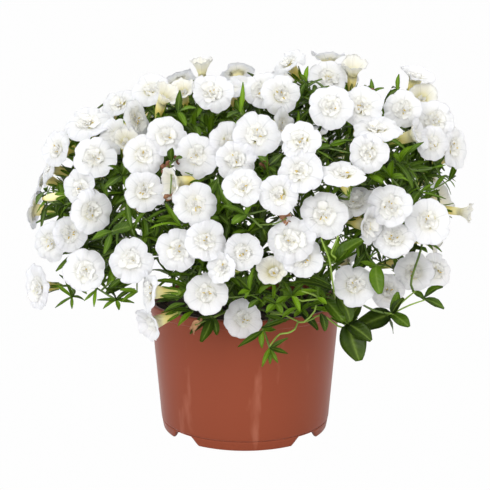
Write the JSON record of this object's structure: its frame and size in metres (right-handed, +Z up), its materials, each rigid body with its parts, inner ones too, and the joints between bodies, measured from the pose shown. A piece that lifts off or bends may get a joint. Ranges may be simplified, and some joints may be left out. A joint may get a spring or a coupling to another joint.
{
  "type": "double calibrachoa in a plastic pot",
  "caption": "Mounding calibrachoa with double white blooms and narrow leaves, growing in soil in a round terracotta-coloured plastic nursery pot.",
  "frame": {"origin": "centre of the bounding box in plan, on the surface that the pot stands on", "axes": "+Z up, and the side that the picture shows faces -Y"},
  "size_m": [0.3123, 0.2892, 0.2723],
  "materials": {
    "terracotta_plastic": "satin moulded plastic, faintly scuffed",
    "potting_soil": "damp crumbly peat soil",
    "leaf_green": "soft leaves and stems, slightly waxy",
    "petal_white": "thin matte petals"
  },
  "bodies": {
    "root": {"pot": "terracotta_plastic", "soil": "potting_soil", "leafy_stem_00": "leaf_green", "leafy_stem_01": "leaf_green", "leafy_stem_02": "leaf_green", "leafy_stem_03": "leaf_green", "leafy_stem_04": "leaf_green", "leafy_stem_05": "leaf_green", "leafy_stem_06": "leaf_green", "leafy_stem_07": "leaf_green", "leafy_stem_08": "leaf_green", "leafy_stem_09": "leaf_green", "blooms_00": "petal_white", "blooms_01": "petal_white", "blooms_02": "petal_white", "blooms_03": "petal_white", "blooms_04": "petal_white", "blooms_05": "petal_white", "blooms_06": "petal_white", "blooms_07": "petal_white", "blooms_08": "petal_white", "blooms_09": "petal_white", "blooms_10": "petal_white", "blooms_11": "petal_white", "blooms_12": "petal_white", "blooms_13": "petal_white", "blooms_14": "petal_white", "blooms_15": "petal_white", "blooms_16": "petal_white", "blooms_17": "petal_white", "blooms_18": "petal_white", "blooms_19": "petal_white", "blooms_20": "petal_white", "blooms_21": "petal_white", "blooms_22": "petal_white", "blooms_23": "petal_white", "blooms_24": "petal_white", "blooms_25": "petal_white", "blooms_26": "petal_white", "blooms_27": "petal_white", "blooms_28": "petal_white", "blooms_29": "petal_white", "blooms_30": "petal_white", "blooms_31": "petal_white", "blooms_32": "petal_white", "blooms_33": "petal_white", "blooms_34": "petal_white", "blooms_35": "petal_white", "blooms_36": "petal_white", "blooms_37": "petal_white", "blooms_38": "petal_white", "blooms_39": "petal_white", "blooms_40": "petal_white", "blooms_41": "petal_white", "blooms_42": "petal_white", "blooms_43": "petal_white", "blooms_44": "petal_white", "blooms_45": "petal_white", "blooms_46": "petal_white", "blooms_47": "petal_white"}
  },
  "joints": []
}
